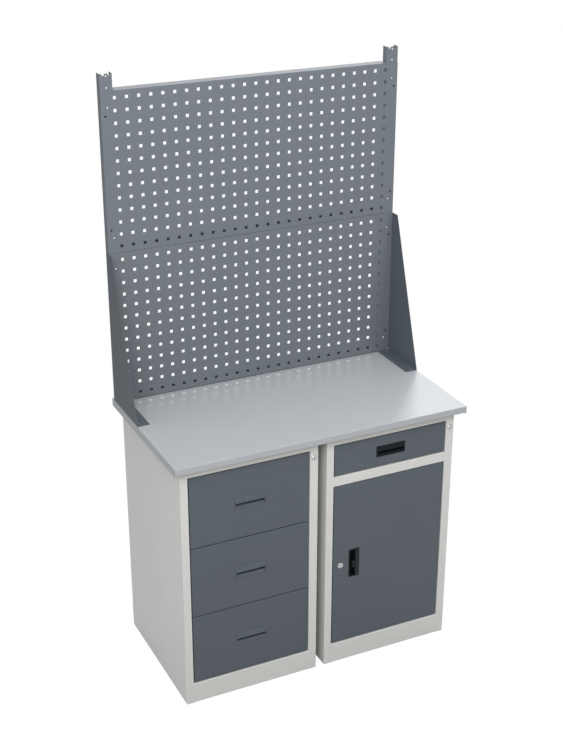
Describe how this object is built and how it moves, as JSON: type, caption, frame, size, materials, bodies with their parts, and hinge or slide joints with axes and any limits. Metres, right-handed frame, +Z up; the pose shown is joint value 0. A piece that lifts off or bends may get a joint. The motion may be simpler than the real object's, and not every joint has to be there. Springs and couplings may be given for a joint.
{
  "type": "workbench",
  "caption": "Steel workbench with drawer and cupboard pedestals, metal-clad worktop and a perforated tool board on posts with tapered side plates.",
  "frame": {"origin": "on the floor, under the middle of the worktop", "axes": "+Z up, the drawer and door fronts face -Y, +X to the right as seen from the front"},
  "size_m": [1.0014, 0.552, 1.9187],
  "materials": {
    "worktop_paint": "smooth gloss powder coat, light grey",
    "board_wood": "raw particle board",
    "pedestal_paint": "light grey satin powder coat",
    "drawer_box_paint": "light grey satin powder coat",
    "front_paint": "blue-grey satin powder coat",
    "stand_paint": "mid grey satin powder coat",
    "grey_plastic": "moulded, blue-grey",
    "black_plastic": "moulded, near black",
    "zinc_steel": "bright zinc plated",
    "lock_chrome": "polished",
    "dark_screw": "blackened"
  },
  "bodies": {
    "bench": {"gusset_left": "front_paint", "gusset_right": "front_paint", "hinge_pins": "zinc_steel", "left_back": "pedestal_paint", "left_base": "pedestal_paint", "left_lock_body": "lock_chrome", "left_side_inner": "pedestal_paint", "left_side_outer": "pedestal_paint", "left_slide_fixed": "zinc_steel", "left_top": "pedestal_paint", "left_uprights": "pedestal_paint", "panel_fasteners": "dark_screw", "panel_lower": "stand_paint", "panel_upper": "stand_paint", "post_left": "stand_paint", "post_right": "stand_paint", "right_back": "pedestal_paint", "right_base": "pedestal_paint", "right_lock_body": "lock_chrome", "right_mid_rail": "pedestal_paint", "right_side_inner": "pedestal_paint", "right_side_outer": "pedestal_paint", "right_slide_fixed": "zinc_steel", "right_top": "pedestal_paint", "right_uprights": "pedestal_paint", "shelf": "pedestal_paint", "shelf_clips": "zinc_steel", "worktop_board": "board_wood", "worktop_screws": "zinc_steel", "worktop_skin": "worktop_paint"},
    "drawer_top": {"drawer_top_front": "front_paint", "drawer_top_handle": "grey_plastic", "drawer_top_box": "drawer_box_paint", "drawer_top_slide_inner": "zinc_steel"},
    "drawer_top_slides": {"drawer_top_slide_middle": "zinc_steel"},
    "drawer_middle": {"drawer_middle_front": "front_paint", "drawer_middle_handle": "grey_plastic", "drawer_middle_box": "drawer_box_paint", "drawer_middle_slide_inner": "zinc_steel"},
    "drawer_middle_slides": {"drawer_middle_slide_middle": "zinc_steel"},
    "drawer_bottom": {"drawer_bottom_front": "front_paint", "drawer_bottom_handle": "grey_plastic", "drawer_bottom_box": "drawer_box_paint", "drawer_bottom_slide_inner": "zinc_steel"},
    "drawer_bottom_slides": {"drawer_bottom_slide_middle": "zinc_steel"},
    "drawer_small": {"drawer_small_front": "front_paint", "drawer_small_handle": "black_plastic", "drawer_small_box": "drawer_box_paint", "drawer_small_slide_inner": "zinc_steel"},
    "drawer_small_slides": {"drawer_small_slide_middle": "zinc_steel"},
    "door": {"door_panel": "front_paint", "door_stiffener": "front_paint", "door_handle": "black_plastic", "door_lock_body": "lock_chrome", "hinge_bushes": "black_plastic"},
    "door_lock": {"door_lock_plug": "lock_chrome"},
    "left_lock": {"left_lock_plug": "lock_chrome"},
    "left_bar": {"left_lock_bar": "zinc_steel"},
    "right_lock": {"right_lock_plug": "lock_chrome"},
    "right_bar": {"right_lock_bar": "zinc_steel"}
  },
  "joints": [
    {"name": "drawer_top_slide", "type": "slide", "parent": "bench", "child": "drawer_top", "axis": [0, -1, 0], "range_m": [0, 0.4]},
    {"name": "drawer_top_slides_slide", "type": "slide", "parent": "bench", "child": "drawer_top_slides", "axis": [0, -1, 0], "range_m": [0, 0.2]},
    {"name": "drawer_middle_slide", "type": "slide", "parent": "bench", "child": "drawer_middle", "axis": [0, -1, 0], "range_m": [0, 0.4]},
    {"name": "drawer_middle_slides_slide", "type": "slide", "parent": "bench", "child": "drawer_middle_slides", "axis": [0, -1, 0], "range_m": [0, 0.2]},
    {"name": "drawer_bottom_slide", "type": "slide", "parent": "bench", "child": "drawer_bottom", "axis": [0, -1, 0], "range_m": [0, 0.4]},
    {"name": "drawer_bottom_slides_slide", "type": "slide", "parent": "bench", "child": "drawer_bottom_slides", "axis": [0, -1, 0], "range_m": [0, 0.2]},
    {"name": "drawer_small_slide", "type": "slide", "parent": "bench", "child": "drawer_small", "axis": [0, -1, 0], "range_m": [0, 0.4]},
    {"name": "drawer_small_slides_slide", "type": "slide", "parent": "bench", "child": "drawer_small_slides", "axis": [0, -1, 0], "range_m": [0, 0.2]},
    {"name": "door_hinge", "type": "hinge", "parent": "bench", "child": "door", "pos_m": [0.429, -0.237, 0.3697], "axis": [0, 0, 1], "range_deg": [0, 110]},
    {"name": "door_lock_turn", "type": "hinge", "parent": "door", "child": "door_lock", "pos_m": [0.07, -0.235, 0.371], "axis": [0, 1, 0], "range_deg": [0, 90]},
    {"name": "left_lock_turn", "type": "hinge", "parent": "bench", "child": "left_lock", "pos_m": [-0.02925, -0.235, 0.787], "axis": [0, 1, 0], "range_deg": [0, 90]},
    {"name": "left_bar_lift", "type": "slide", "parent": "bench", "child": "left_bar", "axis": [0, 0, 1], "range_m": [0, 0.012]},
    {"name": "right_lock_turn", "type": "hinge", "parent": "bench", "child": "right_lock", "pos_m": [0.46075, -0.235, 0.787], "axis": [0, 1, 0], "range_deg": [0, 90]},
    {"name": "right_bar_lift", "type": "slide", "parent": "bench", "child": "right_bar", "axis": [0, 0, 1], "range_m": [0, 0.012]}
  ],
  "couplings": [
    {"joint": "drawer_top_slides_slide", "follows": "drawer_top_slide", "ratio": 0.5},
    {"joint": "drawer_middle_slides_slide", "follows": "drawer_middle_slide", "ratio": 0.5},
    {"joint": "drawer_bottom_slides_slide", "follows": "drawer_bottom_slide", "ratio": 0.5},
    {"joint": "drawer_small_slides_slide", "follows": "drawer_small_slide", "ratio": 0.5},
    {"joint": "left_lock_turn", "follows": "left_bar_lift", "rad_per_m": 130.9},
    {"joint": "right_lock_turn", "follows": "right_bar_lift", "rad_per_m": 130.9}
  ]
}
